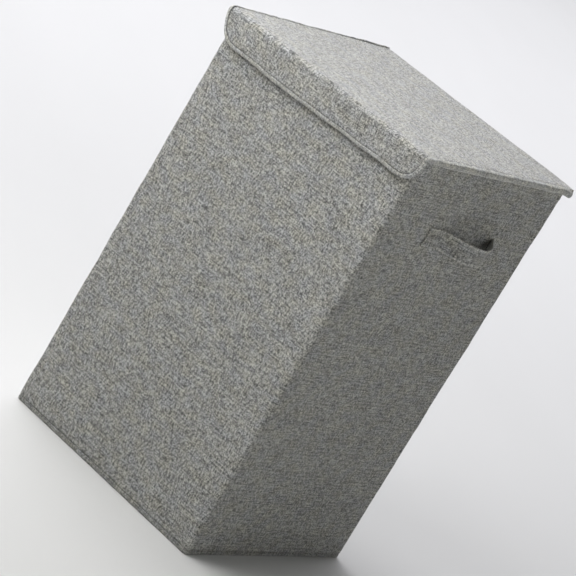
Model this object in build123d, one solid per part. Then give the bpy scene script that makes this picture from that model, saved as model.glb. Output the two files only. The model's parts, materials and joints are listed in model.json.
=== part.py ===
from build123d import *
import os

os.makedirs("parts", exist_ok=True)

# A folding fabric laundry hamper with a hinged lid.  Millimetres, +Z up.
# The origin is the middle of the underside; the front faces -Y, the right side +X.

# ---- overall sizes
body_width = 350.0  # outside of the walls, left to right
body_depth = 350.0  # outside of the walls, front to back
overall_height = 605.0  # floor to the top of the lid

# ---- wall layers
wall_board = 2.4
cover_cloth = 1.0
lining_cloth = 0.6
corner_radius = 5.0  # outside of the soft upright corners
binding_cloth = 0.6  # tape folded over the rim
binding_depth = 14.0  # how far the tape reaches down the wall

# ---- foot of the hamper
bottom_cloth = 0.9
bottom_band = 6.8  # how far the bottom cloth is turned up
wall_foot = 7.0  # lower edge of the walls that fold

# ---- loose base board, hinged on its rear edge
base_board = 2.6
base_cloth = 0.9
base_side_gap = 1.0
base_front_gap = 1.5
base_swing_gap = 0.5  # left behind the base when it stands on its rear edge
base_lift = 0.1  # above the bottom cloth

# ---- fold lines
front_pivot_inset = 3.2  # front corner pivot, behind the front wall's inner face
rear_pivot_inset = 8.0  # rear corner pivot, ahead of the back wall's inner face
crease_stand_off = 0.8  # crease pivot, outside the side wall's outer face
panel_gap = 0.3  # between pieces that turn against each other

# ---- carrying handles
strap_width = 28.0
strap_cloth = 2.0
strap_drop = 107.0  # top of the lid to the middle of the strap
strap_reach = 34.0  # corner of the bow, out from the wall
strap_root = 5.0  # where the strap turns beside the wall
strap_front_slit = -74.0
strap_rear_slit = 78.0
strap_peak = 30.0  # furthest point of the bow
strap_tab = 24.0  # length sewn inside the wall
strap_inner_bend = 2.5
strap_outer_bend = 6.0
strap_peak_bend = 24.0
slit_clearance = 1.0
patch_cloth = 0.6
patch_margin = 5.0

# ---- lid
lid_thickness = 7.0
lid_side_overhang = 11.0
lid_rim_gap = 0.6
lid_cover = 1.2
lid_lining = 0.8
lid_axis_out = 5.0  # hinge line, behind the back wall
piping_width = 4.5
piping_round = 2.0
hinge_cloth = 0.9
hinge_cloth_depth = 12.0

# ---- front flap of the lid
flap_drop = 44.0  # top of the lid to the flap's lower edge
flap_stand_off = 8.0  # flap's outer face, ahead of the front wall
flap_thickness = 5.0
flap_cover = 1.2
flap_lining = 0.8
flap_corner = 28.0
fold_radius = 7.0
flap_piping_proud = 0.2

# ---- places worked out from the sizes
half_width = body_width / 2
half_depth = body_depth / 2
wall = wall_board + cover_cloth + lining_cloth
lid_under = overall_height - lid_thickness
rim = lid_under - lid_rim_gap
binding_foot = rim - binding_depth
wall_top = rim - binding_cloth
front_pivot = -half_depth + wall + front_pivot_inset
rear_pivot = half_depth - wall - rear_pivot_inset
crease = (front_pivot + rear_pivot) / 2
lid_half_width = half_width + lid_side_overhang
lid_axis_y = half_depth + lid_axis_out
lid_axis_z = lid_under + lid_thickness / 2
flap_face = -half_depth - flap_stand_off
fold_y = flap_face + fold_radius
fold_z = overall_height - fold_radius
strap_height = overall_height - strap_drop
base_thickness = base_board + 2 * base_cloth
base_rear = half_depth - wall - base_swing_gap - base_thickness
base_front = -half_depth + wall + base_front_gap
base_half_width = half_width - wall - base_side_gap
base_foot = bottom_cloth + base_lift


def block(x, y, z):
    """A box from its (low, high) limits on each axis."""
    size = [high - low for low, high in (x, y, z)]
    middle = [(high + low) / 2 for low, high in (x, y, z)]
    return Pos(*middle) * Box(*size)


def tube(outset, inset, z):
    """The wall's plan, from outset outside its outer face to inset inside it."""
    outer = RectangleRounded(body_width + 2 * outset, body_depth + 2 * outset, corner_radius + outset)
    inner_radius = max(corner_radius - inset, 0.8)
    inner = RectangleRounded(body_width - 2 * inset, body_depth - 2 * inset, inner_radius)
    return Pos(0, 0, z[0]) * extrude(outer - inner, z[1] - z[0])


def cut_piece(shape, x, y):
    """The part of a shape that lies between limits in plan."""
    return shape & block(x, y, (-1.0, overall_height + 1.0))


def save(node, shape):
    """Write one node's solids."""
    export_step(shape, f"parts/{node}.step")


def mirrored(shape):
    """The left-hand copy of a right-hand piece."""
    return mirror(shape, Plane.YZ)


all_x = (-half_width - 10.0, half_width + 10.0)
right_x = (half_width - 12.0, half_width + 12.0)
front_y = (-half_depth - 10.0, front_pivot - panel_gap)
right_front_y = (front_pivot, crease - panel_gap / 2)
right_rear_y = (crease + panel_gap / 2, rear_pivot)
rear_y = (rear_pivot + panel_gap, half_depth + 10.0)


# ---- walls

def strap_slot(y, clearance):
    """A block that cuts the slit for the strap."""
    reach = strap_cloth / 2 + clearance
    tall = strap_width / 2 + slit_clearance
    return block(
        (half_width - wall - 3.0, half_width + 3.0),
        (y - reach, y + reach),
        (strap_height - tall, strap_height + tall),
    )


def wall_skins(x, y, foot, slit=None):
    """Cover and lining of one wall panel, slit for the strap where it has one."""
    cover = cut_piece(tube(0.0, cover_cloth, (foot, wall_top)), x, y)
    lining = cut_piece(tube(-wall + lining_cloth, wall, (foot, wall_top)), x, y)
    if slit is not None:
        cover -= strap_slot(slit, slit_clearance)
        lining -= strap_slot(slit, slit_clearance)
    return cover, lining


def rim_binding(x, y):
    """Tape folded over the top edge of one wall panel."""
    tape = tube(binding_cloth, wall + binding_cloth, (binding_foot, rim))
    tape -= tube(0.0, wall, (binding_foot, wall_top))
    return cut_piece(tape, x, y)


def front_wall():
    cover, lining = wall_skins(all_x, front_y, wall_foot)
    save("front_cover", cover)
    save("front_lining", lining)
    board_y = (-half_depth + cover_cloth, -half_depth + cover_cloth + wall_board)
    board_x = half_width - corner_radius
    save("front_board", block((-board_x, board_x), board_y, (wall_foot, wall_top)))
    tape_y = (front_y[0], front_y[1] - binding_cloth)
    save("front_rim_binding", rim_binding(all_x, tape_y))


def back_wall():
    foot = bottom_band
    cover = cut_piece(tube(0.0, cover_cloth, (foot, rim)), all_x, rear_y)
    lining = cut_piece(tube(-wall + lining_cloth, wall, (foot, rim)), all_x, rear_y)
    save("back_cover", cover)
    save("back_lining", lining)
    board_y = (half_depth - cover_cloth - wall_board, half_depth - cover_cloth)
    board_x = half_width - corner_radius
    save("back_board", block((-board_x, board_x), board_y, (foot, rim)))


def side_half(end, y, slit):
    """One folding half of the right side wall, and its left-hand copy."""
    cover, lining = wall_skins(right_x, y, wall_foot, slit)
    board_x = (half_width - wall + lining_cloth, half_width - cover_cloth)
    board = block(board_x, y, (wall_foot, wall_top)) - strap_slot(slit, slit_clearance)
    pieces = {
        "cover": cover,
        "lining": lining,
        "board": board,
        "rim_binding": rim_binding(right_x, y),
        "handle_patch": handle_patch(slit),
    }
    for name, shape in pieces.items():
        save(f"right_{end}_{name}", shape)
        save(f"left_{end}_{name}", mirrored(shape))


# ---- handles

def handle_patch(slit):
    """Reinforcing patch on the inside of the wall, under the strap's sewn tab."""
    outward = 1 if slit > crease else -1
    tab_end = slit + outward * (strap_tab + patch_margin)
    near_end = slit - outward * patch_margin
    inner = half_width - wall
    tall = strap_width / 2 + patch_margin
    patch = block(
        (inner - patch_cloth, inner),
        (min(tab_end, near_end), max(tab_end, near_end)),
        (strap_height - tall, strap_height + tall),
    )
    return patch - strap_slot(slit, slit_clearance + patch_cloth)


def handles():
    """A strap of each side that bows out between its two slits."""
    tab_x = half_width - wall - patch_cloth - strap_cloth / 2
    root_x = half_width + strap_root
    points = [
        (tab_x, strap_front_slit - strap_tab),
        (tab_x, strap_front_slit),
        (root_x, strap_front_slit),
        (half_width + strap_reach, strap_peak),
        (root_x, strap_rear_slit),
        (tab_x, strap_rear_slit),
        (tab_x, strap_rear_slit + strap_tab),
    ]
    bends = [strap_inner_bend, strap_outer_bend, strap_peak_bend, strap_outer_bend, strap_inner_bend]
    path = FilletPolyline(*points, radius=bends)
    strap = Pos(0, 0, strap_height - strap_width / 2) * extrude(trace(path, strap_cloth), strap_width)
    save("right_handle_strap", strap)
    save("left_handle_strap", mirrored(strap))


# ---- bottom and base

def bottom():
    """Soft bottom with its edge turned up all round."""
    plan = RectangleRounded(body_width, body_depth, corner_radius)
    inside = RectangleRounded(
        body_width - 2 * cover_cloth, body_depth - 2 * cover_cloth, corner_radius - cover_cloth
    )
    tray = extrude(plan, bottom_band) - Pos(0, 0, bottom_cloth) * extrude(inside, bottom_band)
    save("bottom_cloth", tray)


def base():
    """Stiff base board with cloth on both faces."""
    x = (-base_half_width, base_half_width)
    y = (base_front, base_rear)
    layers = (
        ("base_under_cover", base_cloth),
        ("base_board", base_board),
        ("base_top_cover", base_cloth),
    )
    foot = base_foot
    for node, thickness in layers:
        save(node, block(x, y, (foot, foot + thickness)))
        foot += thickness


# ---- lid and flap

def along_x(section, half):
    """A (y, z) section drawn on the XY plane, extruded from -half to half along X."""
    return extrude(Plane.YZ * section, half, both=True)


def ring(middle, outer, thickness):
    """A flat ring, on (y, z) coordinates."""
    return Pos(*middle) * (Circle(outer) - Circle(outer - thickness))


def rectangle(y, z):
    """A rectangle from its limits, on (y, z) coordinates."""
    return Pos((y[0] + y[1]) / 2, (z[0] + z[1]) / 2) * Rectangle(y[1] - y[0], z[1] - z[0])


def lid():
    front = fold_y + panel_gap
    panel_half = lid_half_width - piping_width
    cover_foot = overall_height - lid_cover
    nose = ring((lid_axis_y, lid_axis_z), lid_thickness / 2, lid_cover)
    nose &= rectangle((lid_axis_y, lid_axis_y + lid_thickness), (lid_under, overall_height))
    top = rectangle((front, lid_axis_y), (cover_foot, overall_height))
    save("lid_cover", along_x(top + nose, panel_half))
    lining_top = lid_under + lid_lining
    save("lid_lining", along_x(rectangle((front, lid_axis_y), (lid_under, lining_top)), panel_half))
    save("lid_board", along_x(rectangle((front, lid_axis_y), (lining_top, cover_foot)), panel_half))
    bead = Plane.XZ * RectangleRounded(piping_width, lid_thickness, piping_round)
    bead = extrude(bead, (lid_axis_y - front) / 2, both=True)
    bead_x = lid_half_width - piping_width / 2
    bead = Pos(bead_x, (lid_axis_y + front) / 2, lid_axis_z) * bead
    save("lid_right_piping", bead)
    save("lid_left_piping", mirrored(bead))


def lid_hinge():
    """Cloth hinge that carries the lid on the back wall."""
    leg_y = half_depth + hinge_cloth / 2
    bend_z = rim - hinge_cloth
    wrap = lid_thickness / 2 + hinge_cloth / 2
    leg = Polyline(
        (leg_y, rim - hinge_cloth_depth),
        (leg_y, bend_z),
        (lid_axis_y, lid_axis_z - wrap),
    )
    curl = CenterArc((lid_axis_y, lid_axis_z), wrap, -90, 90)
    save("lid_hinge_cloth", along_x(trace(leg + curl, hinge_cloth), half_width - corner_radius))


def flap_outline(margin, y):
    """The flap's outline, margin inside its edge, between two y limits."""
    top = fold_z - panel_gap
    tall = 2 * (top - (overall_height - flap_drop) - margin)
    plan = RectangleRounded(2 * (lid_half_width - margin), tall, flap_corner - margin)
    plate = Pos(0, y[1], top) * extrude(Plane.XZ * plan, y[1] - y[0])
    return plate - block((-1000, 1000), (y[0] - 1, y[1] + 1), (top, top + tall))


def flap():
    rear_face = flap_face + flap_thickness
    board_y = (flap_face + flap_cover, rear_face - flap_lining)
    save("flap_cover", flap_outline(piping_width, (flap_face, board_y[0])))
    save("flap_board", flap_outline(piping_width, board_y))
    save("flap_lining", flap_outline(piping_width, (board_y[1], rear_face)))
    piping_y = (flap_face - flap_piping_proud, rear_face + flap_piping_proud)
    bead = flap_outline(0.0, piping_y) - flap_outline(piping_width, piping_y)
    save("flap_piping", bead)


def flap_fold():
    """Soft fold between the lid and its flap."""
    around = ring((fold_y, fold_z), fold_radius, flap_cover)
    around &= rectangle((flap_face, fold_y), (fold_z, overall_height))
    lid_end = rectangle((fold_y, fold_y + panel_gap), (overall_height - flap_cover, overall_height))
    flap_end = rectangle((flap_face, flap_face + flap_cover), (fold_z - panel_gap, fold_z))
    save("flap_fold_cloth", along_x(around + lid_end + flap_end, lid_half_width))


back_wall()
front_wall()
side_half("rear", right_rear_y, strap_rear_slit)
side_half("front", right_front_y, strap_front_slit)
handles()
bottom()
base()
lid()
lid_hinge()
flap()
flap_fold()
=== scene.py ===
import json
import math

import bpy
import numpy as np
from mathutils import Matrix, Vector, noise


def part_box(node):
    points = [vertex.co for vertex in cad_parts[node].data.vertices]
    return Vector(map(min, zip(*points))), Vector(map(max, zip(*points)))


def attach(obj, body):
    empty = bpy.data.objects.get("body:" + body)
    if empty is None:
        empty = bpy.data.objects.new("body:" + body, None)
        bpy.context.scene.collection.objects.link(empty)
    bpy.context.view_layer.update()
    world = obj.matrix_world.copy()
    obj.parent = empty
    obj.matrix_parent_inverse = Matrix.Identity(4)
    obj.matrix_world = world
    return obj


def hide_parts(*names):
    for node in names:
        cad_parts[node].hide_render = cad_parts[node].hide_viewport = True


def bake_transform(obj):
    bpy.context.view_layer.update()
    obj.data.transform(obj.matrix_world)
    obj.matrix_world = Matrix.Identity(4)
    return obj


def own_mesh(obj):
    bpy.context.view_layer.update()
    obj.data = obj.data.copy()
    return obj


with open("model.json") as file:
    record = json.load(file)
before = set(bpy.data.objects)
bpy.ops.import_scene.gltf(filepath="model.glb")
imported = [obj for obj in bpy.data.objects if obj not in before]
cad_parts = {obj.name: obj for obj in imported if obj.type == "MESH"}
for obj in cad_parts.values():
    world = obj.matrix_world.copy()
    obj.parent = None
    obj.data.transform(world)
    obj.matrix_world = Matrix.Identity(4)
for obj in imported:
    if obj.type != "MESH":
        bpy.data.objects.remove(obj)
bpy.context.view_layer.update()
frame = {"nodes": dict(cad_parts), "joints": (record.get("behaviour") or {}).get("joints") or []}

MM = 0.001

# ---- places read from the frame, in metres
FRONT_LOW, FRONT_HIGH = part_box("front_cover")
HALF_WIDTH = FRONT_HIGH.x
HALF_DEPTH = -FRONT_LOW.y
WALL_FOOT = FRONT_LOW.z
WALL_TOP = FRONT_HIGH.z
BAND_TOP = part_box("bottom_cloth")[1].z
LID_LOW, LID_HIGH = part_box("lid_cover")
LID_TOP = LID_HIGH.z
LID_UNDER = LID_LOW.z
PANEL_HALF = LID_HIGH.x
PIPING_LOW, PIPING_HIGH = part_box("lid_right_piping")
LID_HALF = PIPING_HIGH.x
FLAP_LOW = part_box("flap_piping")[0]
FLAP_PLATE_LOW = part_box("flap_cover")[0]
FLAP_FACE = FLAP_PLATE_LOW.y
FLAP_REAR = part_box("flap_lining")[1].y
JOINTS = {j["name"]: Vector(j["pos_m"]) for j in frame["joints"]}
LID_AXIS = JOINTS["lid_hinge"]
FOLD_AXIS = JOINTS["flap_hinge"]
CREASE_Y = JOINTS["right_crease"].y
FRONT_PIVOT_Y = JOINTS["right_front_corner"].y
REAR_PIVOT = JOINTS["fold"]
TAPE_LOW, TAPE_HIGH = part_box("right_rear_rim_binding")
RIM_TOP = TAPE_HIGH.z
RIM_RADIUS = (TAPE_HIGH.x - TAPE_LOW.x) / 2
RIM_PROUD = TAPE_HIGH.x - HALF_WIDTH
STRAP_LOW, STRAP_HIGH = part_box("right_handle_strap")

# ---- sizes of the soft detail
CORNER_RADIUS = 5 * MM  # of the four upright corners
COVER = 1.0 * MM  # thickness of the walls' outer cloth
LID_CLOTH = 1.2 * MM
HINGE_CLOTH = 0.8 * MM
GRID = 6 * MM  # usual spacing of a cloth's points
FINE_GRID = 1.2 * MM  # their spacing in the narrow corner cloths
CORNER_REACH = 14 * MM  # front and back cloth stop this far from the corner
SIDE_REACH = 12 * MM  # side cloth starts this far past the corner's pivot
PIPING_WIDTH = PIPING_HIGH.x - PIPING_LOW.x
FLAP_CORNER = 28 * MM  # radius of the flap's lower corners
STITCH = 3.4 * MM  # from one stitch to the next
TICK = 9.5 * MM  # from one loose tick of thread to the next
SEAM_INSET = 4.6 * MM  # row of stitches, from the piping's inner edge
REAR_CORNER = 10 * MM  # how far the lid's rear corners are rounded
STRAP_TAB = 24 * MM  # sewn end of the strap, inside the wall
SLIT_HALF = 2.0 * MM
SLIT_Z = (STRAP_LOW.z - 1.0 * MM, STRAP_HIGH.z + 1.0 * MM)
SLIT_FRONT_Y = STRAP_LOW.y + STRAP_TAB
SLIT_REAR_Y = STRAP_HIGH.y - STRAP_TAB


# ---- materials

CLOTH_SPECULAR = 0.18
SHEEN_ROUGHNESS = 0.55


def new_material(name, roughness, sheen):
    """A plain material, with its node tree and its shader."""
    material = bpy.data.materials.new(name)
    material.use_nodes = True
    tree = material.node_tree
    shader = tree.nodes["Principled BSDF"]
    shader.inputs["Roughness"].default_value = roughness
    shader.inputs["Specular IOR Level"].default_value = CLOTH_SPECULAR
    shader.inputs["Sheen Weight"].default_value = sheen
    shader.inputs["Sheen Roughness"].default_value = SHEEN_ROUGHNESS
    return material, tree, shader


def math_node(tree, operation, a, b=0.0, clamp=False):
    """The result of an operation on a and b, which are sockets or numbers."""
    node = tree.nodes.new("ShaderNodeMath")
    node.operation = operation
    node.use_clamp = clamp
    for socket, value in zip(node.inputs, (a, b)):
        if isinstance(value, (int, float)):
            socket.default_value = value
        else:
            tree.links.new(value, socket)
    return node.outputs[0]


def times(tree, a, b):
    return math_node(tree, "MULTIPLY", a, b)


def plus(tree, a, b):
    return math_node(tree, "ADD", a, b)


def stretched_noise(tree, u, v, u_scale, v_scale, detail=1.0, shift=0.0):
    """Noise whose grains are 1/u_scale by 1/v_scale millimetres; shift picks another pattern."""
    join = tree.nodes.new("ShaderNodeCombineXYZ")
    tree.links.new(times(tree, u, u_scale), join.inputs[0])
    tree.links.new(times(tree, v, v_scale), join.inputs[1])
    join.inputs[2].default_value = shift
    node = tree.nodes.new("ShaderNodeTexNoise")
    node.inputs["Scale"].default_value = 1.0
    node.inputs["Detail"].default_value = detail
    node.inputs["Roughness"].default_value = 0.55
    tree.links.new(join.outputs[0], node.inputs["Vector"])
    return node.outputs["Fac"]


def weighted_sum(tree, terms, base):
    """base plus each (socket - 0.5) times its weight."""
    total = base
    for socket, weight in terms:
        centred = math_node(tree, "SUBTRACT", socket, 0.5)
        total = plus(tree, times(tree, centred, weight), total)
    return total


def cloth_coordinates(tree, mapped):
    """(u, v) across the cloth in millimetres: its own map, or the object's place."""
    if mapped:
        source = tree.nodes.new("ShaderNodeUVMap")
        source.uv_map = "weave"
        vector = source.outputs["UV"]
    else:
        source = tree.nodes.new("ShaderNodeTexCoord")
        vector = source.outputs["Object"]
    split = tree.nodes.new("ShaderNodeSeparateXYZ")
    tree.links.new(vector, split.inputs[0])
    if mapped:
        u, v = split.outputs[0], split.outputs[1]
    else:
        # x + y and z + y / 2 both change along a cloth, whichever way it faces
        u = plus(tree, split.outputs[0], split.outputs[1])
        v = plus(tree, split.outputs[2], times(tree, split.outputs[1], 0.5))
    return times(tree, u, 1 / MM), times(tree, v, 1 / MM)


def ramp(tree, socket, stops):
    """The colour for a value, from (value, colour) stops."""
    node = tree.nodes.new("ShaderNodeValToRGB")
    elements = node.color_ramp.elements
    while len(elements) < len(stops):
        elements.new(0.5)
    for element, (place, colour) in zip(elements, stops):
        element.position = place
        element.color = (*colour, 1.0)
    tree.links.new(socket, node.inputs[0])
    return node.outputs[0]


def multiply_colours(tree, first, second):
    mix = tree.nodes.new("ShaderNodeMix")
    mix.data_type = "RGBA"
    mix.blend_type = "MULTIPLY"
    mix.inputs["Factor"].default_value = 1.0
    tree.links.new(first, mix.inputs["A"])
    tree.links.new(second, mix.inputs["B"])
    return mix.outputs["Result"]


def tint(colour, factor, shade=(1.0, 1.0, 1.0)):
    """The colour, brighter by a factor and multiplied by a shade."""
    return tuple(c * factor * s for c, s in zip(colour, shade))


RIB_PITCH = 5.5  # millimetres between the cloth's faint ribs
YARN_WANDER = 2.5  # millimetres by which the yarns stray from a straight line
TONE_SPREAD = 0.69  # how far the tones lie from the cloth's colour
# painted highlight: the strap's rolled hems are made paler, as where they catch the light
PAINTED_HEM_HIGHLIGHT = (1.40, 1.40, 1.38)


def heather(
    name, colour, pitch=1.15, contrast=1.0, bump=0.5, mapped=True, slub=1.0, sheen=0.2, hem=None,
):
    """Plain weave of uneven two-tone yarn; pitch is the yarn spacing in millimetres, slub the
    weight of the thick threads, and hem how far off the middle line a painted highlight starts."""
    material, tree, shader = new_material(name, 0.92, sheen)
    u, v = cloth_coordinates(tree, mapped)
    wander = stretched_noise(tree, u, v, 0.04, 0.04, shift=3.0)
    u_bent = plus(tree, u, times(tree, wander, YARN_WANDER))
    v_bent = plus(tree, v, times(tree, wander, YARN_WANDER))
    across = math_node(tree, "SINE", times(tree, u_bent, math.pi / pitch))
    along = math_node(tree, "SINE", times(tree, v_bent, math.pi / pitch))
    over = times(tree, across, along)
    rib = math_node(tree, "SINE", times(tree, v_bent, 2 * math.pi / RIB_PITCH))
    slubs = stretched_noise(tree, u_bent, v_bent, 0.055, 0.70)
    weft = stretched_noise(tree, u_bent, v_bent, 0.24, 0.75, shift=21.0)
    warp = stretched_noise(tree, u_bent, v_bent, 0.62, 0.17, shift=7.0)
    thick_warp = stretched_noise(tree, u_bent, v_bent, 0.34, 0.13, shift=41.0)
    grain = stretched_noise(tree, u_bent, v_bent, 0.52, 0.58, detail=1.5, shift=11.0)
    cloud = stretched_noise(tree, u, v, 0.03, 0.03, shift=15.0)
    weave = plus(tree, 0.5, times(tree, over, 0.16))
    weave = plus(tree, times(tree, rib, 0.04 * slub), weave)
    weights = [
        (slubs, 0.85 * slub), (weft, 0.75 * slub), (warp, 0.9), (thick_warp, 0.95 * slub),
        (grain, 1.65), (cloud, 0.22),
    ]
    value = weighted_sum(tree, weights, weave)
    spread = TONE_SPREAD * contrast
    tone = ramp(tree, value, [
        (0.08, tint(colour, 1.0 - 1.08 * spread, (1.0, 1.0, 0.99))),
        (0.36, tint(colour, 1.0 - 0.40 * spread)),
        (0.60, tint(colour, 1.0 + 0.34 * spread)),
        (0.95, tint(colour, 1.0 + 1.50 * spread, (1.02, 1.01, 0.98))),
    ])
    hue = stretched_noise(tree, u, v, 0.045, 0.06, shift=31.0)
    cast = ramp(tree, hue, [(0.32, (0.973, 0.987, 1.04)), (0.68, (1.027, 1.009, 0.95))])
    colour_out = multiply_colours(tree, tone, cast)
    # painted highlight on the hems, past hem millimetres off the middle line
    if hem is not None:
        past = math_node(tree, "SUBTRACT", math_node(tree, "ABSOLUTE", v), hem, clamp=True)
        hem_highlight_factor = ramp(tree, past, [(0.0, (1, 1, 1)), (1.0, PAINTED_HEM_HIGHLIGHT)])
        colour_out = multiply_colours(tree, colour_out, hem_highlight_factor)
    tree.links.new(colour_out, shader.inputs["Base Color"])
    interlaced = times(tree, over, 0.3)
    height = weighted_sum(tree, [(weft, 0.6), (warp, 0.35), (grain, 0.6)], interlaced)
    bumped = tree.nodes.new("ShaderNodeBump")
    bumped.inputs["Strength"].default_value = bump
    bumped.inputs["Distance"].default_value = 0.5 * MM
    tree.links.new(height, bumped.inputs["Height"])
    tree.links.new(bumped.outputs["Normal"], shader.inputs["Normal"])
    return material


def greyboard(name, colour):
    """Raw greyboard with pressed fibres, seen at the boards' edges."""
    material, tree, shader = new_material(name, 0.85, 0.0)
    u, v = cloth_coordinates(tree, False)
    fibres = stretched_noise(tree, u, v, 0.5, 0.18, detail=4.0)
    specks = stretched_noise(tree, u, v, 1.4, 1.4, shift=5.0)
    value = weighted_sum(tree, [(fibres, 0.8), (specks, 0.5)], 0.5)
    shade = ramp(tree, value, [(0.2, tint(colour, 0.8)), (0.8, tint(colour, 1.2))])
    tree.links.new(shade, shader.inputs["Base Color"])
    return material


def studio_floor():
    """Pale paper with a barely uneven tone."""
    material, tree, shader = new_material("floor_paper", 0.75, 0.0)
    u, v = cloth_coordinates(tree, False)
    tone = stretched_noise(tree, u, v, 0.004, 0.004, detail=2.0)
    shade = ramp(tree, tone, [(0.0, (0.60, 0.60, 0.585)), (1.0, (0.62, 0.62, 0.605))])
    tree.links.new(shade, shader.inputs["Base Color"])
    return material


CLOTH_GREY = (0.277, 0.278, 0.262)
COVER_CLOTH = heather("heather_cover", CLOTH_GREY)
# painted highlight: the piping is the cover's cloth made 1.38 times brighter, as where its rounded edge
# catches the light
PIPING_CLOTH_PAINTED_HIGHLIGHT = heather("heather_piping_painted_highlight", tint(CLOTH_GREY, 1.38), contrast=0.75, sheen=0.25)
# painted shade: the strap's cloth is darkened to 0.92 of the cover's grey, and its hems get a painted
# highlight
STRAP_CLOTH_PAINTED_LIGHT = heather("heather_strap_painted_shade_and_highlight", tint(CLOTH_GREY, 0.92), contrast=0.9, hem=10.6)
BOTTOM_CLOTH = heather("heather_bottom", tint(CLOTH_GREY, 0.86), contrast=0.9)
LINING_CLOTH = heather("lining_cloth", (0.42, 0.42, 0.405), 0.8, 0.3, 0.25, mapped=False, slub=0.5)
RIM_TAPE = heather("rim_tape", CLOTH_GREY, 0.9, 0.6, mapped=False, slub=0.6)
HINGE_TAPE = heather("hinge_tape", CLOTH_GREY, 0.9, 0.8)
THREAD = heather("thread", (0.40, 0.40, 0.38), 0.5, 0.4, 0.3, mapped=False, slub=0.3)
# painted shade: a near-black cord laid in the piping's groove stands for the shade in it
GROOVE_SHADE_THREAD = heather("painted_groove_shade_thread", (0.075, 0.075, 0.07), 0.5, 0.8, 0.3, slub=0.3)
BOARD = greyboard("greyboard", (0.36, 0.32, 0.26))


# ---- meshes

def add_to_scene(name, data):
    """A new object with this mesh, light or camera."""
    thing = bpy.data.objects.new(name, data)
    bpy.context.scene.collection.objects.link(thing)
    return thing


def make_object(name, points, faces, uvs, material):
    """A mesh from numpy points, faces of indices, and a (u, v) for every point."""
    mesh = bpy.data.meshes.new(name)
    mesh.from_pydata([tuple(p) for p in points], [], [tuple(f) for f in faces])
    layer = mesh.uv_layers.new(name="weave")
    corner_points = np.zeros(len(mesh.loops), np.int32)
    mesh.loops.foreach_get("vertex_index", corner_points)
    layer.data.foreach_set("uv", np.asarray(uvs, np.float32)[corner_points].ravel())
    mesh.polygons.foreach_set("use_smooth", np.full(len(mesh.polygons), True))
    mesh.materials.append(material)
    mesh.update()
    return add_to_scene(name, mesh)


def grid_faces(rows, columns, skip=lambda i, j: False, closed=False):
    """Quads of a grid of points, row by row; closed joins the last column to the first."""
    faces = []
    for i in range(rows - 1):
        for j in range(columns - (0 if closed else 1)):
            if skip(i, j):
                continue
            k = (j + 1) % columns
            low, high = i * columns, (i + 1) * columns
            faces.append((low + j, low + k, high + k, high + j))
    return faces


def tube_faces(rings, around):
    """Quads between rings of points, and a cap at both ends."""
    ends = [tuple(range(around))[::-1], tuple(range((rings - 1) * around, rings * around))]
    return grid_faces(rings, around, closed=True) + ends


def steps(low, high, size=GRID, marks=()):
    """Evenly spaced values from low to high, passing through every mark."""
    stops = sorted({low, high, *[m for m in marks if low < m < high]})
    values = []
    for a, b in zip(stops, stops[1:]):
        values.extend(np.linspace(a, b, max(2, int(math.ceil((b - a) / size)) + 1))[:-1])
    return np.array(values + [high])


def lengths_along(line, start=0.0):
    """Length along the line up to each of its points."""
    lengths = [start]
    for a, b in zip(line, line[1:]):
        lengths.append(lengths[-1] + math.dist(a, b))
    return lengths


def smooth(value, low, high):
    """0 at low, 1 at high, easing at both ends."""
    t = min(1.0, max(0.0, (value - low) / (high - low)))
    return t * t * (3 - 2 * t)


def near(distance, reach):
    """1 at no distance, falling to nothing past the reach."""
    return math.exp(-((distance / reach) ** 2))


def thicken(piece, thickness):
    """Gives a single layer its cloth's thickness, inwards; the cut edges stay sharp."""
    modifier = piece.modifiers.new("thickness", "SOLIDIFY")
    modifier.thickness = thickness
    modifier.offset = -1.0
    modifier.use_even_offset = False
    uses = {}
    for face in piece.data.polygons:
        for key in face.edge_keys:
            uses[key] = uses.get(key, 0) + 1
    for edge in piece.data.edges:
        edge.use_edge_sharp = uses[edge.key] == 1


# ---- plan of the walls

SIDE_STRAIGHT = 2 * (HALF_DEPTH - CORNER_RADIUS)
FRONT_STRAIGHT = 2 * (HALF_WIDTH - CORNER_RADIUS)
QUARTER = CORNER_RADIUS * math.pi / 2
AROUND = 2 * SIDE_STRAIGHT + 2 * FRONT_STRAIGHT + 4 * QUARTER


def plan(s, outset=0.0):
    """(x, y) and the outward direction at arc length s, from the middle of the front to the right."""
    s = s % AROUND
    half_front = FRONT_STRAIGHT / 2
    right = HALF_WIDTH - CORNER_RADIUS
    deep = HALF_DEPTH - CORNER_RADIUS
    legs = [
        (half_front, "line", (0.0, -HALF_DEPTH), (1.0, 0.0), (0.0, -1.0)),
        (QUARTER, "arc", (right, -deep), -90.0, None),
        (SIDE_STRAIGHT, "line", (HALF_WIDTH, -deep), (0.0, 1.0), (1.0, 0.0)),
        (QUARTER, "arc", (right, deep), 0.0, None),
        (FRONT_STRAIGHT, "line", (right, HALF_DEPTH), (-1.0, 0.0), (0.0, 1.0)),
        (QUARTER, "arc", (-right, deep), 90.0, None),
        (SIDE_STRAIGHT, "line", (-HALF_WIDTH, deep), (0.0, -1.0), (-1.0, 0.0)),
        (QUARTER, "arc", (-right, -deep), 180.0, None),
        (half_front, "line", (-right, -HALF_DEPTH), (1.0, 0.0), (0.0, -1.0)),
    ]
    for length, kind, start, heading, normal in legs:
        if s <= length + 1e-9:
            break
        s -= length
    if kind == "line":
        place = (start[0] + heading[0] * s, start[1] + heading[1] * s)
    else:
        angle = math.radians(heading + 90.0 * s / QUARTER)
        normal = (math.cos(angle), math.sin(angle))
        place = (start[0] + CORNER_RADIUS * normal[0], start[1] + CORNER_RADIUS * normal[1])
    return place[0] + normal[0] * outset, place[1] + normal[1] * outset, normal[0], normal[1]


def on_side(y):
    """Arc length of the point of the right side at y."""
    return FRONT_STRAIGHT / 2 + QUARTER + (y + HALF_DEPTH - CORNER_RADIUS)


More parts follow.
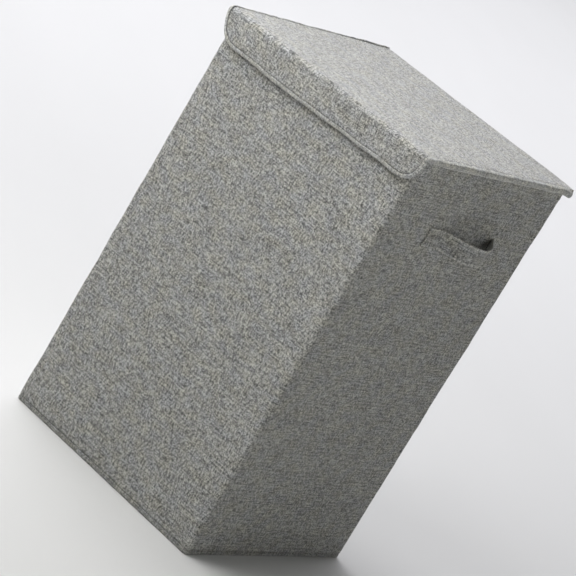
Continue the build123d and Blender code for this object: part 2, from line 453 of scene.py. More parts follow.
CORNERS = [
    FRONT_STRAIGHT / 2 + QUARTER / 2,
    FRONT_STRAIGHT / 2 + QUARTER * 1.5 + SIDE_STRAIGHT,
    FRONT_STRAIGHT * 1.5 + QUARTER * 2.5 + SIDE_STRAIGHT,
    FRONT_STRAIGHT * 1.5 + QUARTER * 3.5 + 2 * SIDE_STRAIGHT,
]
S_CREASES = [on_side(CREASE_Y), AROUND - on_side(CREASE_Y)]

# ---- relief of the walls' cloth
SLACK_WIDE, SLACK_SMALL, SLACK_MEAN = 0.6 * MM, 0.2 * MM, 0.35 * MM
CORNER_WAVES = 9 * MM  # how far a corner's waves spread to both sides
WAVE_LONG, WAVE_SHORT, WAVE_MEAN = 0.9 * MM, 0.4 * MM, 0.1 * MM
PINCH_WIDTH, PINCH_DEPTH = 1.8 * MM, 0.75 * MM  # dents where the waves end
GROOVE_WIDTH, GROOVE_AHEAD = 1.6 * MM, 1.5 * MM  # the crease's dark line, just in front of it
GROOVE_LOW, GROOVE_HIGH = 0.3 * MM, 1.2 * MM  # its depth all the way up, and what the rim adds
STEP_REACH, STEP_HEIGHT = 20 * MM, 1.7 * MM  # under the rim, the cloth behind the crease stands out
GROOVE_RISE = (WALL_TOP - 55 * MM, WALL_TOP - 18 * MM)  # both grow to full size over this height
SWELL_REACH, SWELL_HEIGHT = 26 * MM, 0.3 * MM  # the cloth in front of the crease swells a little,
SWELL_RISE = (WALL_TOP - 130 * MM, WALL_TOP - 20 * MM)  # growing over this height
FOOT_ROUNDING, FOOT_TUCK = 2.2 * MM, 1.0 * MM  # the cloth's lower edge turns in
SUNK_MOST = 0.75 * MM
REAR_RIM_SUNK = 0.3 * MM  # the back wall's cloth lies this far in under its rim, clear of the hinge
REAR_RIM_RISE = (RIM_TOP - 30 * MM, RIM_TOP - 18 * MM)  # drawn in over this height
RIM_STEP = (TAPE_LOW.z - 8 * MM, TAPE_LOW.z + 4 * MM)  # a wall's cloth steps out over the tape here


def wall_relief(s, z):
    """How far the cloth stands off the flat wall: slack, corner waves, the crease, and the hems."""
    s = s % AROUND
    x, y, _, ny = plan(s)
    wide = noise.noise(Vector((x * 9, y * 9, z * 7)) + Vector((3, 5, 8)))
    small = noise.noise(Vector((x * 42, y * 42, z * 26)) + Vector((11, 2, 6)))
    relief = SLACK_WIDE * wide + SLACK_SMALL * small + SLACK_MEAN
    for corner in CORNERS:
        apart = min(abs(s - corner), AROUND - abs(s - corner))
        wave = noise.noise(Vector((corner * 31, 0.0, z * 21)))
        fine = noise.noise(Vector((corner * 17, 4.0, z * 70)))
        relief += near(apart, CORNER_WAVES) * (WAVE_LONG * wave + WAVE_SHORT * fine - WAVE_MEAN)
        pinch = 0.5 + 0.5 * noise.noise(Vector((corner * 23, 9.0, z * 60)))
        relief -= near(apart - CORNER_WAVES, PINCH_WIDTH) * PINCH_DEPTH * pinch
    for crease, forward in zip(S_CREASES, (1.0, -1.0)):
        behind = (s - crease) * forward
        line, broad = smooth(z, *GROOVE_RISE), smooth(z, *SWELL_RISE)
        relief -= near(behind + GROOVE_AHEAD, GROOVE_WIDTH) * (GROOVE_LOW + GROOVE_HIGH * line)
        if behind > 0:
            relief += near(behind, STEP_REACH) * STEP_HEIGHT * line
        else:
            relief += near(behind, SWELL_REACH) * SWELL_HEIGHT * broad
    above = (z - WALL_FOOT) / FOOT_ROUNDING
    if above < 1.0:
        relief -= FOOT_TUCK * (1.0 - math.sqrt(max(0.0, 1.0 - (1.0 - above) ** 2)))
    relief = max(relief, -SUNK_MOST)
    if ny > 0.5:
        relief -= (relief + REAR_RIM_SUNK) * smooth(z, *REAR_RIM_RISE)
    return relief


def wall_rows():
    """Rows of the outer cloth from the foot, up over the rim and a little way down inside. Gives
    for each (distance off the outer face, z, outward share, share of the relief, length so far)."""
    rows = []
    marks = [WALL_FOOT + 0.7 * MM, WALL_FOOT + 1.5 * MM, WALL_FOOT + 2.4 * MM, *SLIT_Z]
    for z in steps(WALL_FOOT, RIM_TOP - RIM_RADIUS, GRID, marks):
        rows.append((RIM_PROUD * smooth(z, *RIM_STEP), z, 1.0, 1.0))
    for angle in np.linspace(0, math.pi, 9)[1:]:
        out, up = math.cos(angle), math.sin(angle)
        off, z = RIM_PROUD + RIM_RADIUS * (out - 1), RIM_TOP + RIM_RADIUS * (up - 1)
        rows.append((off, z, out, max(out, 0.0)))
    for z in steps(TAPE_LOW.z, RIM_TOP - RIM_RADIUS, 4 * MM)[::-1][1:]:
        rows.append((RIM_PROUD - 2 * RIM_RADIUS, z, -1.0, 0.0))
    lengths = lengths_along([row[:2] for row in rows], WALL_FOOT)
    return [(*row, run) for row, run in zip(rows, lengths)]


NARROW = 40 * MM  # a cloth under this width gets the fine grid
CREASE_FINE = 7.5 * MM  # and so does every cloth this far to both sides of a crease


def wall_cloth(name, s_low, s_high, slits=()):
    """Outer cloth of the walls between two arc lengths, with an open slit for each (low, high) pair."""
    marks = [edge for slit in slits for edge in slit]
    for crease in S_CREASES:
        marks.extend(np.linspace(crease - CREASE_FINE, crease + CREASE_FINE, 21))
    s_values = steps(s_low, s_high, GRID if s_high - s_low > NARROW else FINE_GRID, marks)
    rows = wall_rows()
    points, uvs = [], []
    for off, z, out, share, run in rows:
        for s in s_values:
            rear = smooth(plan(s)[1], REAR_PIVOT.y - 6 * MM, REAR_PIVOT.y + 6 * MM)
            pulled_in = rear * (RIM_PROUD if z > RIM_STEP[1] else off)
            x, y, nx, ny = plan(s, off - pulled_in)
            relief = wall_relief(s, z) * share
            points.append((x + nx * out * relief, y + ny * out * relief, z))
            uvs.append((s, run))

    def in_slit(i, j):
        z = (rows[i][1] + rows[i + 1][1]) / 2
        s = (s_values[j] + s_values[j + 1]) / 2
        return rows[i][2] > 0.5 and SLIT_Z[0] < z < SLIT_Z[1] and any(a < s < b for a, b in slits)

    faces = grid_faces(len(rows), len(s_values), in_slit)
    piece = make_object(name, points, faces, uvs, COVER_CLOTH)
    thicken(piece, COVER)
    return piece


def make_walls():
    """The outer cloth, in pieces that meet beside the corners; the front and back pieces are attached to
    their walls.
    """
    s_front = HALF_WIDTH - CORNER_REACH
    s_side_front = on_side(FRONT_PIVOT_Y + SIDE_REACH)
    s_side_rear = on_side(REAR_PIVOT.y - SIDE_REACH)
    s_open = on_side(REAR_PIVOT.y)
    s_back = on_side(HALF_DEPTH - CORNER_RADIUS) + QUARTER + (CORNER_REACH - CORNER_RADIUS)
    slits = [(on_side(y) - SLIT_HALF, on_side(y) + SLIT_HALF) for y in (SLIT_FRONT_Y, SLIT_REAR_Y)]
    left_slits = [(AROUND - b, AROUND - a) for a, b in slits]

    front = wall_cloth("front_cloth", -s_front, s_front)
    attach(front, "front_wall")
    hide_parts("front_cover", "front_rim_binding")

    back = wall_cloth("back_cloth", s_back, AROUND - s_open)
    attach(back, "back_wall")
    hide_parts("back_cover")

    for side, sign in (("right", 1), ("left", -1)):
        turn = (lambda s: s) if sign > 0 else (lambda s: AROUND - s)
        rear_end = s_side_rear if sign > 0 else s_open
        limits = sorted((turn(s_side_front), turn(rear_end)))
        cloth = wall_cloth(f"{side}_side_cloth", *limits, slits if sign > 0 else left_slits)
        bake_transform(cloth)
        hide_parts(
            f"{side}_rear_cover", f"{side}_front_cover",
            f"{side}_rear_rim_binding", f"{side}_front_rim_binding",
        )
        limits = sorted((turn(s_front), turn(s_side_front)))
        corner = wall_cloth(f"{side}_front_corner_cloth", *limits)
        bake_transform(corner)
    corner = wall_cloth("right_rear_corner_cloth", s_side_rear, s_back)
    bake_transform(corner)


# ---- lid and flap
SIDE_WAVE, SIDE_RIPPLE = 1.1 * MM, 0.2 * MM  # of the lid's edge, and of the cloth beside it
REAR_DROOP = 2.6 * MM  # the lid's right rear corner hangs
REAR_LIFT = 1.3 * MM  # and its left edge stands up towards the rear
LEFT_NARROWING, RIGHT_NARROWING = 3.8 * MM, 1.5 * MM  # the flap's ends slant in
FLAP_SAG, FLAP_RISE = 2.6 * MM, 2.4 * MM  # its lower edge, left of the middle and near the right end
FLAP_BULGE = 1.0 * MM  # its face is not quite flat
EDGE_GRID = 4 * MM  # spacing of the points along the piping
BEAD_PROUD = 0.3 * MM  # the piping is wider than the CAD's by this much on both sides
BEAD_HANG = 2.2 * MM  # it hangs below the lid's underside, away from the flap
BEAD_FLATTENED = 0.35  # its outer side is this much flatter than a half circle
BEAD_LIFT, BEAD_SWAY = 0.4 * MM, 0.7 * MM  # unevenness of its sewing, up and sideways
THREAD_INSET, TICK_INSET = 0.75 * MM, 0.8 * MM  # dark cord of painted groove shade, and ticks, from the piping's inner edge
LID_SLACK_MEAN, LID_SLACK_WIDE, LID_SLACK_SMALL = 0.35 * MM, 0.5 * MM, 0.3 * MM
EDGE_SUNK, EDGE_REACH = 1.05 * MM, 1.6 * MM  # the lid's cloth goes down beside the piping,
PUFF_INSET, PUFF_HEIGHT, PUFF_WIDTH = 2.7 * MM, 0.3 * MM, 1.1 * MM  # swells before the stitches
DENT_DEPTH, DENT_WIDTH = 0.55 * MM, 0.9 * MM  # and dips along them


def lid_warp(p):
    """The soft lid and flap: wavy sides, a drooping and a raised rear corner, a lower edge that sags."""
    p = Vector(p)
    across = abs(p.x)
    edge = smooth(across, PANEL_HALF - 14 * MM, LID_HALF)
    wave = noise.noise(Vector((math.copysign(3.0, p.x), p.y * 21, 1.0)))
    wave += 0.6 * noise.noise(Vector((math.copysign(8.0, p.x), p.y * 55, 4.0)))
    if p.y > FOLD_AXIS.y + 4 * MM:
        wavy = smooth(across, PANEL_HALF - 3 * MM, LID_HALF)
        p.z += SIDE_WAVE * wave * wavy + SIDE_RIPPLE * edge * wave
        if p.x > 0:
            rear = smooth(p.y, LID_AXIS.y - 34 * MM, LID_AXIS.y)
            p.z -= REAR_DROOP * rear * (smooth(across, PANEL_HALF - 2.5 * MM, LID_HALF) + 0.3 * edge)
        else:
            rear = smooth(p.y, -20 * MM, 110 * MM)
            p.z += REAR_LIFT * rear * smooth(across, PANEL_HALF - 2.5 * MM, PANEL_HALF + 0.5 * MM)
    centre_x, centre_y = LID_HALF - REAR_CORNER, LID_HIGH.y - REAR_CORNER
    dx, dy = across - centre_x, p.y - centre_y
    if dx > 0 and dy > 0:
        shrink = max(dx, dy) / math.hypot(dx, dy)
        p.x = math.copysign(centre_x + dx * shrink, p.x)
        p.y = centre_y + dy * shrink
    depth = smooth(FOLD_AXIS.z - p.z, 0.0, FOLD_AXIS.z - FLAP_LOW.z)
    if p.y < FOLD_AXIS.y + 1 * MM:
        narrowing = LEFT_NARROWING * smooth(-p.x, 90 * MM, 165 * MM)
        narrowing -= RIGHT_NARROWING * smooth(p.x, 120 * MM, 170 * MM)
        sag = -FLAP_SAG * near(p.x + 75 * MM, 80 * MM) + FLAP_RISE * near(p.x - 150 * MM, 55 * MM)
        sag += 0.9 * MM * noise.noise(Vector((p.x * 24, 2.0, 6.0)))
        sag += 0.5 * MM * noise.noise(Vector((p.x * 70, 7.0, 1.0)))
        p.x += narrowing * smooth(FOLD_AXIS.z - p.z, -2 * MM, 22 * MM)
        p.z += sag * depth
        p.y += FLAP_BULGE * depth * noise.noise(Vector((p.x * 13, 5.0, 3.0)))
    return p


def edge_path(inset=0.0):
    """Line along the piping, from the lid's rear right corner round the flap to its rear left corner,
    inset from the piping's middle. Gives each point's place, outward and upward directions."""
    x = LID_HALF - PIPING_WIDTH / 2 - inset
    lid_z = (LID_TOP + LID_UNDER) / 2
    flap_y = (FLAP_FACE + FLAP_REAR) / 2
    places = []
    for y in steps(FOLD_AXIS.y, LID_AXIS.y + 3 * MM, EDGE_GRID)[::-1]:
        places.append(((x, y, lid_z), (1, 0, 0), (0, 0, 1)))
    for angle in np.linspace(0, math.pi / 2, 9)[1:]:
        back = FOLD_AXIS.y + (flap_y - FOLD_AXIS.y) * math.sin(angle)
        high = FOLD_AXIS.z + (lid_z - FOLD_AXIS.z) * math.cos(angle)
        places.append(((x, back, high), (1, 0, 0), (0, -math.sin(angle), math.cos(angle))))
    radius = FLAP_CORNER - PIPING_WIDTH / 2 - inset
    bottom = FLAP_LOW.z + PIPING_WIDTH / 2 + inset
    corner_z = bottom + radius
    for z in steps(corner_z, FOLD_AXIS.z, EDGE_GRID)[::-1][1:]:
        places.append(((x, flap_y, z), (1, 0, 0), (0, -1, 0)))
    for angle in np.linspace(0, math.pi / 2, 13)[1:]:
        out = (math.cos(angle), 0, -math.sin(angle))
        places.append(((x - radius + radius * out[0], flap_y, corner_z + radius * out[2]), out, (0, -1, 0)))
    for px in steps(0.0, x - radius, 5 * MM)[::-1][1:]:
        places.append(((px, flap_y, bottom), (0, 0, -1), (0, -1, 0)))
    left = [((-p[0], p[1], p[2]), (-out[0], out[1], out[2]), up) for p, out, up in places[:-1]]
    return places + left[::-1]


def half_height(place):
    """Half the thickness of the lid or flap at this place of the edge path."""
    lid = (LID_TOP - LID_UNDER) / 2
    flap = (FLAP_REAR - FLAP_FACE) / 2
    return flap + (lid - flap) * smooth(place[2], FOLD_AXIS.z - 1 * MM, FOLD_AXIS.z + lid)


def make_piping():
    """Binding round the lid's sides and the flap, with a thin raised ridge along its inner edge."""
    half = PIPING_WIDTH / 2 + BEAD_PROUD
    ridge = [(0.0, 0.2), (0.4, 0.6), (1.0, 0.75), (1.6, 0.45), (2.1, 0.0)]  # millimetres in, up
    points, uvs = [], []
    path = edge_path()
    run = 0.0
    for i, (place, out, up) in enumerate(path):
        place, out, up = Vector(place), Vector(out), Vector(up)
        if i:
            run += (place - Vector(path[i - 1][0])).length
        tall = half_height(place)
        lift = BEAD_LIFT * noise.noise(place * 38) + BEAD_LIFT * noise.noise(place * 105)
        sway = BEAD_SWAY * noise.noise(place * 47 + Vector((9, 1, 4)))
        outline = [(-half, 0.0)] + [(-half + a * MM, tall + b * MM) for a, b in ridge]
        hang = BEAD_HANG * smooth(place.y, FOLD_AXIS.y + 5 * MM, FOLD_AXIS.y + 60 * MM)
        for turn in np.linspace(75, -75, 9):
            angle = math.radians(turn)
            high = (tall if turn > 0 else tall + hang) * math.sin(angle)
            wide = half * ((1 + BEAD_FLATTENED) * math.cos(angle) - BEAD_FLATTENED)
            outline.append((wide, high))
        outline += [(0.0, -tall - hang), (-half, -tall + 0.2 * MM)]
        for (a, b), girth in zip(outline, lengths_along(outline)):
            points.append(lid_warp(place + out * (a + sway) + up * (b + lift)))
            uvs.append((run, girth))
    bead = make_object("edge_piping", points, tube_faces(len(path), len(outline)), uvs, PIPING_CLOTH_PAINTED_HIGHLIGHT)
    return bead


def make_groove_shade_cord():
    """Dark cord in the groove between piping and cloth, a painted shade of the groove, dipping out of sight
    in places.
    """
    half_wide, half_high = 0.6 * MM, 0.5 * MM
    sunk_on_lid, sunk_on_flap, dip = 0.3 * MM, 0.55 * MM, 0.5 * MM
    turns = np.linspace(0, 2 * math.pi, 7)[:-1]
    outline = [(half_wide * math.cos(a), half_high * math.sin(a)) for a in turns]
    path = edge_path(PIPING_WIDTH / 2 + THREAD_INSET)
    points, uvs = [], []
    run, before = 0.0, None
    for place, out, up in path:
        place, out, up = Vector(place), Vector(out), Vector(up)
        sunk = sunk_on_flap if place.z < FOLD_AXIS.z else sunk_on_lid
        dipped = dip * noise.noise(place * 85 + Vector((2, 6, 1)))
        centre = lid_warp(place + up * (half_height(place) - sunk + dipped))
        if before is not None:
            run += (centre - before).length
        before = centre
        for (a, b), girth in zip(outline, lengths_along(outline)):
            points.append(centre + out * a + up * b)
            uvs.append((run, girth))
    cord = make_object("groove_shade_cord", points, tube_faces(len(path), len(outline)), uvs, GROOVE_SHADE_THREAD)
    return cord


def make_lid_cloth():
    """One cloth over the lid, round its rear edge, over the soft fold and down the flap."""
    nose = (LID_TOP - LID_UNDER) / 2
    fold_radius = LID_TOP - FOLD_AXIS.z
    section = []
    for angle in np.linspace(-90, 90, 9)[:-1]:
        out, up = math.cos(math.radians(angle)), math.sin(math.radians(angle))
        section.append((LID_AXIS.y + nose * out, LID_AXIS.z + nose * up, out, up))
    for y in steps(FOLD_AXIS.y, LID_AXIS.y)[::-1]:
        section.append((y, LID_TOP, 0.0, 1.0))
    for angle in np.linspace(90, 180, 9)[1:]:
        out, up = math.cos(math.radians(angle)), math.sin(math.radians(angle))
        section.append((FOLD_AXIS.y + fold_radius * out, FOLD_AXIS.z + fold_radius * up, out, up))
    flap_bottom = FLAP_PLATE_LOW.z
    for z in steps(flap_bottom, FOLD_AXIS.z, 1.8 * MM)[::-1][1:]:
        section.append((FLAP_FACE, z, -1.0, 0.0))
    radius = FLAP_CORNER - PIPING_WIDTH
    straight = PANEL_HALF - radius
    insets = [i * MM for i in (0.7, 1.4, 2.2, 3.0, 3.8, 5.4, 6.4, 8, 11)] + [SEAM_INSET, radius]
    marks = [(PANEL_HALF - inset) * sign for inset in insets for sign in (-1, 1)]
    x_values = steps(-PANEL_HALF, PANEL_HALF, GRID, marks)
    points, uvs = [], []
    lengths = lengths_along([place[:2] for place in section])
    for (y, z, ny, nz), run in zip(section, lengths):
        below = flap_bottom + radius - z
        rounding = 0.0
        if ny < -0.5:
            rounding = radius - math.sqrt(max(0.0, radius ** 2 - max(below, 0.0) ** 2))
        for x in x_values:
            past = max(0.0, abs(x) - straight)
            wide = math.copysign(min(abs(x), straight) + past * (radius - rounding) / radius, x)
            edge = PANEL_HALF - abs(wide)
            if ny < -0.5:
                corner = math.hypot(max(abs(wide) - straight, 0.0), max(below, 0.0))
                edge = radius - corner if below > 0 and past > 0 else min(edge, z - flap_bottom)
            p = Vector((wide, y, z))
            relief = LID_SLACK_MEAN + LID_SLACK_WIDE * noise.noise(p * 11)
            relief += LID_SLACK_SMALL * noise.noise(p * 34 + Vector((5, 5, 5)))
            relief -= (relief + EDGE_SUNK) * near(edge, EDGE_REACH)
            puffed = PUFF_HEIGHT * near(edge - PUFF_INSET, PUFF_WIDTH)
            stitched_down = DENT_DEPTH * near(edge - SEAM_INSET, DENT_WIDTH)
            relief += puffed - stitched_down
            points.append(lid_warp((wide, y + ny * relief, z + nz * relief)))
            uvs.append((wide, run))
    faces = [f[::-1] for f in grid_faces(len(section), len(x_values))]
    piece = make_object("lid_and_flap_cloth", points, faces, uvs, COVER_CLOTH)
    thicken(piece, LID_CLOTH)
    return piece


def dashes(name, places, material):
    """Stitches: a small rounded dash for every (place, heading, up)."""
    half_length, radius = 1.15 * MM, 0.34 * MM
    points, faces, uvs = [], [], []
    rings, around = 5, 6
    for place, heading, up in places:
        side = heading.cross(up)
        base = len(points)
        for i in range(rings):
            t = i / (rings - 1) * 2 - 1
            girth = radius * math.sqrt(max(0.06, 1 - t * t))
            for k in range(around):
                angle = 2 * math.pi * k / around
                around_it = side * math.cos(angle) + up * math.sin(angle)
                points.append(place + heading * (t * half_length) + around_it * girth)
                uvs.append((t * MM, k * 0.2 * MM))
        faces += [tuple(base + n for n in face) for face in tube_faces(rings, around)]
    return make_object(name, points, faces, uvs, material)


def along_edge(inset, spacing, height):
    """Places at a spacing along the edge path, as (on the lid?, place, heading, out, up), with none on
    the fold itself; height is over the face of the lid or flap."""
    found = []
    path = edge_path(inset)
    travelled, due = 0.0, spacing
    for (a, out_a, up_a), (b, out_b, up_b) in zip(path, path[1:]):
        a, b = Vector(a), Vector(b)
        length = (b - a).length
        while due <= travelled + length:
            t = (due - travelled) / length
            place = a.lerp(b, t)
            out = Vector(out_a).lerp(Vector(out_b), t).normalized()
            up = Vector(up_a).lerp(Vector(up_b), t).normalized()
            on_lid = place.y > FOLD_AXIS.y + 1 * MM
            if (on_lid and place.y < LID_AXIS.y - 4 * MM) or place.z < FOLD_AXIS.z - 1 * MM:
                surface = lid_warp(place + up * (half_height(place) + height))
                found.append((on_lid, surface, (b - a).normalized(), out, up))
            due += spacing
        travelled += length
    return found


def make_lid_stitches():
    """A row of stitches inside the piping, and ticks of thread across the groove beside it."""
    rows = [
        ("stitches", along_edge(PIPING_WIDTH / 2 + SEAM_INSET, STITCH, 0.0), False),
        ("ticks", along_edge(PIPING_WIDTH / 2 + TICK_INSET, TICK, 0.15 * MM), True),
    ]
    for kind, found, crossing in rows:
        for body, on_lid in (("lid", True), ("flap", False)):
            places = [
                (place, out if crossing else heading, up)
                for lid, place, heading, out, up in found if lid == on_lid
            ]
            piece = dashes(f"{body}_{kind}", places, THREAD)
            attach(piece, body)


def make_hinge_cloth():
    """Strip of cloth from the back wall's outer face, under the lid's rear edge and round it."""
    strip_low, strip_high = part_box("lid_hinge_cloth")
    wall_y = HALF_DEPTH + HINGE_CLOTH
    radius = strip_high.y - LID_AXIS.y
    section = [(wall_y, z) for z in steps(strip_low.z, LID_UNDER - 1.5 * MM, 3 * MM)]
    for angle in np.linspace(215, 360, 13):
        a = math.radians(angle)
        section.append((LID_AXIS.y + radius * math.cos(a), LID_AXIS.z + radius * math.sin(a)))
    x_values = steps(strip_low.x, strip_high.x, 10 * MM)
    points, uvs = [], []
    for (y, z), run in zip(section, lengths_along(section)):
        for x in x_values:
            points.append((x, y, z))
            uvs.append((x, run))
    faces = [f[::-1] for f in grid_faces(len(section), len(x_values))]
    strip = make_object("hinge_strip", points, faces, uvs, HINGE_TAPE)
    thicken(strip, HINGE_CLOTH)
    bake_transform(strip)
    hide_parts("lid_hinge_cloth")


def make_lid():
    """The lid's and flap's cloth, piping and thread, and the cloth hinge; the stitches are attached to the
    lid and the flap.
    """
    cloth = make_lid_cloth()
    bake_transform(cloth)
    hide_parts("lid_cover", "flap_cover", "flap_fold_cloth")
    piping = make_piping()
    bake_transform(piping)
    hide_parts("lid_right_piping", "lid_left_piping", "flap_piping")
    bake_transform(make_groove_shade_cord())
    make_lid_stitches()
    make_hinge_cloth()


# ---- bottom

def make_bottom():
    """Soft bottom: flat underneath, with its edge turned up round the foot of the walls."""
    floor_z = 0.9 * MM
    profile = [  # millimetres off the wall, and z: up inside, over the edge and down outside
        (-1.1, floor_z), (-1.1, BAND_TOP - 0.8 * MM), (-0.75, BAND_TOP - 0.1 * MM),
        (-0.2, BAND_TOP - 0.15 * MM), (0.25, BAND_TOP - 0.9 * MM), (0.45, 4.4 * MM),
        (0.4, 2.4 * MM), (0.1, 1.0 * MM), (-0.6, 0.25 * MM), (-1.8, 0.0),
    ]
    marks = [c + d * QUARTER for c in CORNERS for d in (-0.5, -0.25, 0, 0.25, 0.5)]
    s_values = steps(0.0, AROUND, GRID, marks)[:-1]
    points, uvs = [], []
    girth = 0.0
    for i, (outset, z) in enumerate(profile):
        if i:
            girth += math.hypot((outset - profile[i - 1][0]) * MM, z - profile[i - 1][1])
        for s in s_values:
            x, y, nx, ny = plan(s)
            off = outset * MM
            if 0.5 * MM < z < BAND_TOP and outset > -1.0:
                off += 0.25 * MM * noise.noise(Vector((x * 30, y * 30, 0)))
            points.append((x + nx * off, y + ny * off, z))
            uvs.append((s, girth))
    faces = [f[::-1] for f in tube_faces(len(profile), len(s_values))]
    piece = make_object("bottom_tray", points, faces, uvs, BOTTOM_CLOTH)
    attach(piece, "back_wall")
    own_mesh(piece)
    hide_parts("bottom_cloth")


def make_base_pad():
    """The loose stiff base: a board wrapped in cloth, its corners and edges softened."""
    low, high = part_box("base_board")
    under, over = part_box("base_under_cover")[0].z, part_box("base_top_cover")[1].z
    middle = (under + over) / 2
    half_thick = (over - under) / 2 - 0.12 * MM
    # (distance in from the edge, share of the half thickness), from a face's middle out to the edge
    rings = [(40 * MM, 1.0), (14 * MM, 1.0), (5 * MM, 0.98), (2 * MM, 0.9), (0.6 * MM, 0.6), (0.0, 0.15)]
    rings = [(inset, -up) for inset, up in rings] + rings[::-1]
    points, uvs = [], []
    side_points = 28
    around = 4 * side_points
    corner_share, corner_draw = 0.04, 0.006  # the last 4% of a side draws in by 0.6%
    half_x, half_y = (high.x - low.x) / 2, (high.y - low.y) / 2
    centre_y = (high.y + low.y) / 2
    for inset, up in rings:
        for k in range(around):
            side, t = divmod(k, side_points)
            t = t / side_points * 2 - 1
            x, y = [(t, -1), (1, t), (-t, 1), (-1, -t)][side]
            corner = max(0.0, min(abs(x), abs(y)) - (1 - corner_share)) / corner_share
            px = x * (half_x - inset) * (1 - corner_draw * corner)
            py = y * (half_y - inset) * (1 - corner_draw * corner)
            ripple = 0.12 * MM * noise.noise(Vector((px * 25, py * 25, up)))
            points.append((px, py + centre_y, middle + up * half_thick + ripple))
            uvs.append((px, py + inset))
    pad = make_object("base_pad", points, tube_faces(len(rings), around), uvs, LINING_CLOTH)
    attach(pad, "base")
    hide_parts("base_top_cover", "base_under_cover")


# ---- handles

def strap_path():
    """Plan of the right strap, (x, y) in metres, from its front tab to its rear tab.
    bow is its line outside the wall: millimetres off the wall, and y."""
    inside = STRAP_LOW.x + 1.2 * MM
    wall = HALF_WIDTH
    bow = [
        (0.9, -71.4), (1.4, -67), (1.8, -58), (2.4, -50), (5.5, -42), (21.0, -25),
        (33.0, -9), (36.5, 8), (33.0, 24), (25.0, 40), (16.0, 54), (5.0, 69), (0.0, 75.5),
    ]
    knots = [
        (inside, SLIT_FRONT_Y - STRAP_TAB + 1 * MM), (inside, SLIT_FRONT_Y - 8 * MM),
        (inside + 0.8 * MM, SLIT_FRONT_Y - 0.8 * MM), (wall - 2.0 * MM, SLIT_FRONT_Y + 1.3 * MM),
        *[(wall + out * MM, y * MM) for out, y in bow],
        (inside + 0.6 * MM, SLIT_REAR_Y + 2.4 * MM), (inside, SLIT_REAR_Y + 8 * MM),
        (inside, SLIT_REAR_Y + STRAP_TAB - 1 * MM),
    ]
    return catmull(knots, 6)


def between(p, q, low, high, t):
    """The place at t on a line that passes p at low and q at high."""
    return p * ((high - t) / (high - low)) + q * ((t - low) / (high - low))


def catmull(knots, parts):
    """A smooth line through the knots, with that many parts to a span."""
    k = [Vector(p) for p in knots]
    k = [2 * k[0] - k[1], *k, 2 * k[-1] - k[-2]]
    line = []
    for a, b, c, d in zip(k, k[1:], k[2:], k[3:]):
        t0, t1 = 0.0, max((b - a).length, 1e-6) ** 0.5
        t2 = t1 + max((c - b).length, 1e-6) ** 0.5
        t3 = t2 + max((d - c).length, 1e-6) ** 0.5
        for i in range(parts):
            t = t1 + (t2 - t1) * i / parts
            middle = between(b, c, t1, t2, t)
            left = between(between(a, b, t0, t1, t), middle, t0, t2, t)
            right = between(middle, between(c, d, t2, t3, t), t1, t3, t)
            line.append(between(left, right, t1, t2, t))
    line.append(Vector(knots[-1]))
    return line


def strap_section():
    """Ring round the strap's section, (height, distance out): a flat band with a rolled hem at both edges."""
    half = (STRAP_HIGH.z - STRAP_LOW.z) / 2
    hem = [(0.2, 0.0), (0.6, 0.9), (1.6, 1.35), (2.8, 1.2), (3.6, 0.75)]
    top = [(-half + h * MM, t * MM) for h, t in hem]
    middle = [(h * MM, 0.85 * MM) for h in (-8, -5, -2, 2, 5, 8)]
    outer = top + middle + [(-h, t) for h, t in reversed(top)]
    inner = [(h, -t * 0.8) for h, t in reversed(outer[1:-1])]
    return outer + inner


def make_strap(side, sign):
    """One side's strap, in through a slit at each end; it leans and sags where it stands off."""
    lean_share, droop, furthest = 0.10, 1.6 * MM, 30 * MM
    line = strap_path()
    middle_z = (STRAP_LOW.z + STRAP_HIGH.z) / 2
    section = strap_section()
    points, uvs = [], []
    run = 0.0
    for i, p in enumerate(line):
        ahead = line[min(i + 1, len(line) - 1)] - line[max(i - 1, 0)]
        ahead.normalize()
        normal = Vector((ahead.y, -ahead.x))
        if i:
            run += (p - line[i - 1]).length
        out = min(1.0, max(0.0, (p.x - HALF_WIDTH) / furthest))
        for h, t in section:
            q = p + normal * (t + lean_share * out * h)
            points.append((sign * q.x, q.y, middle_z + h - droop * out))
            uvs.append((run, h))
    faces = tube_faces(len(line), len(section))
    if sign < 0:
        faces = [f[::-1] for f in faces]
    strap = make_object(f"{side}_strap", points, faces, uvs, STRAP_CLOTH_PAINTED_LIGHT)
    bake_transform(strap)
    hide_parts(f"{side}_handle_strap")


# ---- CAD pieces that stay in view

def dress_cad():
    """A material for every CAD node."""
    materials = {"board": BOARD, "patch": RIM_TAPE, "binding": RIM_TAPE}
    for name, node in frame["nodes"].items():
        node.data.materials.clear()
        node.data.materials.append(next((m for key, m in materials.items() if key in name), LINING_CLOTH))


# ---- stage, light and camera

def look_at(thing, place, target):
    """Puts a light somewhere and turns it to its target."""
    thing.location = place
    thing.rotation_euler = (Vector(target) - Vector(place)).to_track_quat("-Z", "Y").to_euler()


def soft_light(name, place, target, size, power, colour):
    data = bpy.data.lights.new(name, "AREA")
    data.shape = "RECTANGLE"
    data.size, data.size_y = size
    data.energy = power
    data.color = colour
    look_at(add_to_scene(name, data), place, target)


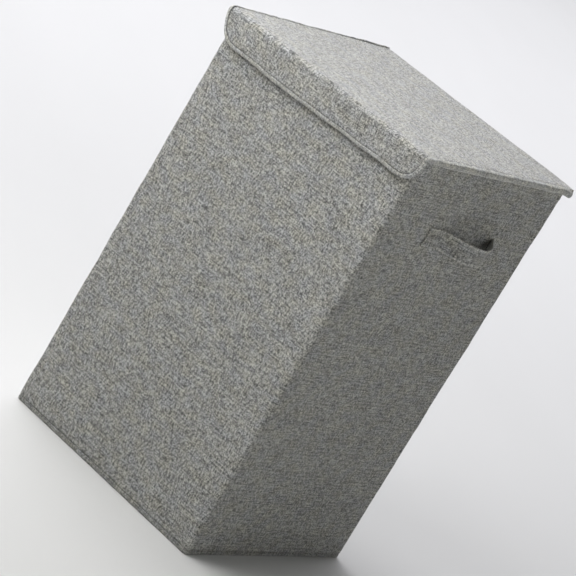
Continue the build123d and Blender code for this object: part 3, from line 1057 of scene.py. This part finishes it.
def make_stage():
    """A pale floor, a dim sky, five soft lights and one wide sun."""
    reach = 30.0
    corners = [(-reach, -reach, 0), (reach, -reach, 0), (reach, reach, 0), (-reach, reach, 0)]
    floor = make_object("floor", corners, [(0, 1, 2, 3)], [c[:2] for c in corners], studio_floor())
    world = bpy.data.worlds.new("studio")
    bpy.context.scene.world = world
    world.use_nodes = True
    background = world.node_tree.nodes["Background"]
    background.inputs["Color"].default_value = (0.9, 0.95, 1.0, 1.0)
    background.inputs["Strength"].default_value = 0.01
    lid_height = (0, 0, 0.5)
    soft_light("backdrop_light", (-2.5, 4.5, 4.0), (-2.5, 4.5, 0), (5, 5), 236, (0.985, 0.985, 1.06))
    soft_light("left_floor_light", (-2.2, 0.8, 2.5), (-2.2, 0.8, 0), (2.5, 2.5), 54, (0.99, 0.99, 1.05))
    soft_light("right_fill", (1.12, -0.36, 0.69), (0.1, 0, 0.4), (0.5, 0.5), 3.15, (1.0, 1.0, 0.99))
    soft_light("front_softbox", (-0.45, -0.75, 1.45), lid_height, (0.8, 0.8), 11.2, (1.0, 1.0, 1.02))
    soft_light("low_softbox", (-0.3, -1.1, 1.2), lid_height, (0.6, 0.6), 5.6, (1.0, 1.0, 1.0))
    data = bpy.data.lights.new("high_left_light", "SUN")
    data.energy = 1.12
    data.angle = math.radians(40)
    look_at(add_to_scene("high_left_light", data), (-2.5, 0.0, 5.0), (0, 0, 0))


def make_camera():
    """A studio camera with a long lens, rolled over so that the hamper leans in the picture."""
    yaw, pitch, roll = math.radians(32.2), math.radians(15.1), math.radians(30.9)
    distance, lens = 3.9235, 185.7
    across, up = 6.2 * MM, -3.4 * MM
    back = Vector((math.sin(yaw) * math.cos(pitch), -math.cos(yaw) * math.cos(pitch), math.sin(pitch)))
    right = (-back).cross(Vector((0, 0, 1))).normalized()
    above = right.cross(-back)
    x_axis = right * math.cos(roll) + above * math.sin(roll)
    y_axis = -right * math.sin(roll) + above * math.cos(roll)
    data = bpy.data.cameras.new("camera")
    data.sensor_width = 36.0
    data.lens = lens
    data.clip_end = 100.0
    camera = add_to_scene("camera", data)
    place = Vector((0, 0, LID_TOP / 2)) + back * distance - right * across - above * up
    rotation = Matrix((x_axis, y_axis, back)).transposed().to_4x4()
    camera.matrix_world = Matrix.Translation(place) @ rotation
    bpy.context.scene.camera = camera
    bpy.context.scene.view_settings.view_transform = "Standard"


make_camera()
dress_cad()
make_walls()
make_lid()
make_bottom()
make_base_pad()
make_strap("right", 1)
make_strap("left", -1)
make_stage()
